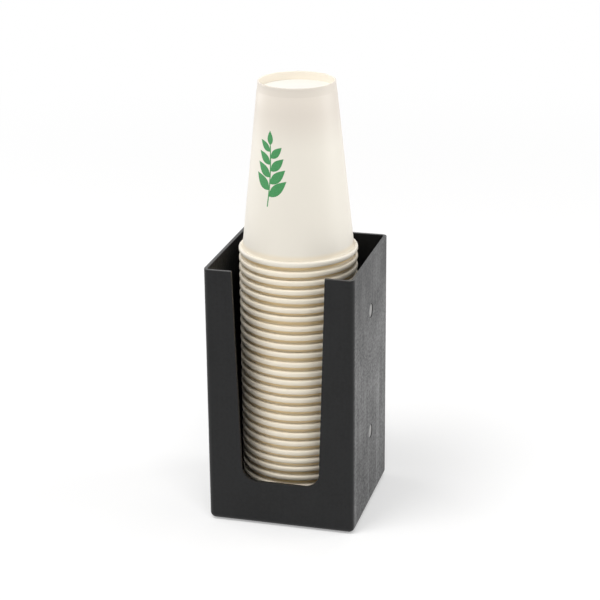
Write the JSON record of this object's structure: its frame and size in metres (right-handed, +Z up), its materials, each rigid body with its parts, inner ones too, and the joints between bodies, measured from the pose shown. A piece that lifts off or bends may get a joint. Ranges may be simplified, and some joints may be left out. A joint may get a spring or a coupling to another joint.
{
  "type": "coffee cup organizer",
  "caption": "Open square counter-top box with a tall slot in its front, holding a nested stack of upturned paper coffee cups.",
  "frame": {"origin": "on the table, under the middle of the box", "axes": "+Z up, the slotted front faces -Y, +X to the right of someone who faces the front"},
  "size_m": [0.111, 0.11, 0.326],
  "materials": {
    "black_plastic": "fine moulded grain, semi-matt",
    "foot_rubber": "soft matt",
    "link_metal": "satin nickel",
    "cup_paper": "coated board, warm white",
    "base_paper": "coated board, warm white"
  },
  "bodies": {
    "box": {"organizer_shell": "black_plastic", "foot_pad_front_left": "foot_rubber", "foot_pad_front_right": "foot_rubber", "foot_pad_rear_left": "foot_rubber", "foot_pad_rear_right": "foot_rubber", "link_disc_left_lower": "link_metal", "link_disc_left_upper": "link_metal", "link_disc_right_lower": "link_metal", "link_disc_right_upper": "link_metal"},
    "cup_01": {"cup_01": "cup_paper"},
    "cup_02": {"cup_02": "cup_paper"},
    "cup_03": {"cup_03": "cup_paper"},
    "cup_04": {"cup_04": "cup_paper"},
    "cup_05": {"cup_05": "cup_paper"},
    "cup_06": {"cup_06": "cup_paper"},
    "cup_07": {"cup_07": "cup_paper"},
    "cup_08": {"cup_08": "cup_paper"},
    "cup_09": {"cup_09": "cup_paper"},
    "cup_10": {"cup_10": "cup_paper"},
    "cup_11": {"cup_11": "cup_paper"},
    "cup_12": {"cup_12": "cup_paper"},
    "cup_13": {"cup_13": "cup_paper"},
    "cup_14": {"cup_14": "cup_paper"},
    "cup_15": {"cup_15": "cup_paper"},
    "cup_16": {"cup_16": "cup_paper"},
    "cup_17": {"cup_17": "cup_paper"},
    "cup_18": {"cup_18": "cup_paper"},
    "cup_19": {"cup_19": "cup_paper"},
    "cup_20": {"cup_20": "cup_paper"},
    "cup_21": {"cup_21": "cup_paper"},
    "cup_22": {"cup_22": "cup_paper"},
    "cup_23": {"cup_23": "cup_paper"},
    "cup_24": {"cup_24": "cup_paper"},
    "cup_25": {"cup_25": "cup_paper"},
    "cup_26": {"cup_26": "cup_paper"},
    "cup_27": {"cup_27": "cup_paper"},
    "cup_28": {"cup_28": "cup_paper"},
    "cup_29": {"cup_29_side_wall": "cup_paper", "cup_29_base_disc": "base_paper"}
  },
  "joints": [
    {"name": "cup_01_lift", "type": "slide", "parent": "box", "child": "cup_01", "axis": [0, 0, 1], "range_m": [0, 0.199]},
    {"name": "cup_02_lift", "type": "slide", "parent": "cup_01", "child": "cup_02", "axis": [0, 0, 1], "range_m": [0, 0.192]},
    {"name": "cup_03_lift", "type": "slide", "parent": "cup_02", "child": "cup_03", "axis": [0, 0, 1], "range_m": [0, 0.185]},
    {"name": "cup_04_lift", "type": "slide", "parent": "cup_03", "child": "cup_04", "axis": [0, 0, 1], "range_m": [0, 0.178]},
    {"name": "cup_05_lift", "type": "slide", "parent": "cup_04", "child": "cup_05", "axis": [0, 0, 1], "range_m": [0, 0.171]},
    {"name": "cup_06_lift", "type": "slide", "parent": "cup_05", "child": "cup_06", "axis": [0, 0, 1], "range_m": [0, 0.165]},
    {"name": "cup_07_lift", "type": "slide", "parent": "cup_06", "child": "cup_07", "axis": [0, 0, 1], "range_m": [0, 0.158]},
    {"name": "cup_08_lift", "type": "slide", "parent": "cup_07", "child": "cup_08", "axis": [0, 0, 1], "range_m": [0, 0.151]},
    {"name": "cup_09_lift", "type": "slide", "parent": "cup_08", "child": "cup_09", "axis": [0, 0, 1], "range_m": [0, 0.144]},
    {"name": "cup_10_lift", "type": "slide", "parent": "cup_09", "child": "cup_10", "axis": [0, 0, 1], "range_m": [0, 0.137]},
    {"name": "cup_11_lift", "type": "slide", "parent": "cup_10", "child": "cup_11", "axis": [0, 0, 1], "range_m": [0, 0.13]},
    {"name": "cup_12_lift", "type": "slide", "parent": "cup_11", "child": "cup_12", "axis": [0, 0, 1], "range_m": [0, 0.125]},
    {"name": "cup_13_lift", "type": "slide", "parent": "cup_12", "child": "cup_13", "axis": [0, 0, 1], "range_m": [0, 0.125]},
    {"name": "cup_14_lift", "type": "slide", "parent": "cup_13", "child": "cup_14", "axis": [0, 0, 1], "range_m": [0, 0.125]},
    {"name": "cup_15_lift", "type": "slide", "parent": "cup_14", "child": "cup_15", "axis": [0, 0, 1], "range_m": [0, 0.125]},
    {"name": "cup_16_lift", "type": "slide", "parent": "cup_15", "child": "cup_16", "axis": [0, 0, 1], "range_m": [0, 0.125]},
    {"name": "cup_17_lift", "type": "slide", "parent": "cup_16", "child": "cup_17", "axis": [0, 0, 1], "range_m": [0, 0.125]},
    {"name": "cup_18_lift", "type": "slide", "parent": "cup_17", "child": "cup_18", "axis": [0, 0, 1], "range_m": [0, 0.125]},
    {"name": "cup_19_lift", "type": "slide", "parent": "cup_18", "child": "cup_19", "axis": [0, 0, 1], "range_m": [0, 0.125]},
    {"name": "cup_20_lift", "type": "slide", "parent": "cup_19", "child": "cup_20", "axis": [0, 0, 1], "range_m": [0, 0.125]},
    {"name": "cup_21_lift", "type": "slide", "parent": "cup_20", "child": "cup_21", "axis": [0, 0, 1], "range_m": [0, 0.125]},
    {"name": "cup_22_lift", "type": "slide", "parent": "cup_21", "child": "cup_22", "axis": [0, 0, 1], "range_m": [0, 0.125]},
    {"name": "cup_23_lift", "type": "slide", "parent": "cup_22", "child": "cup_23", "axis": [0, 0, 1], "range_m": [0, 0.125]},
    {"name": "cup_24_lift", "type": "slide", "parent": "cup_23", "child": "cup_24", "axis": [0, 0, 1], "range_m": [0, 0.125]},
    {"name": "cup_25_lift", "type": "slide", "parent": "cup_24", "child": "cup_25", "axis": [0, 0, 1], "range_m": [0, 0.125]},
    {"name": "cup_26_lift", "type": "slide", "parent": "cup_25", "child": "cup_26", "axis": [0, 0, 1], "range_m": [0, 0.125]},
    {"name": "cup_27_lift", "type": "slide", "parent": "cup_26", "child": "cup_27", "axis": [0, 0, 1], "range_m": [0, 0.125]},
    {"name": "cup_28_lift", "type": "slide", "parent": "cup_27", "child": "cup_28", "axis": [0, 0, 1], "range_m": [0, 0.125]},
    {"name": "cup_29_lift", "type": "slide", "parent": "cup_28", "child": "cup_29", "axis": [0, 0, 1], "range_m": [0, 0.125]}
  ]
}
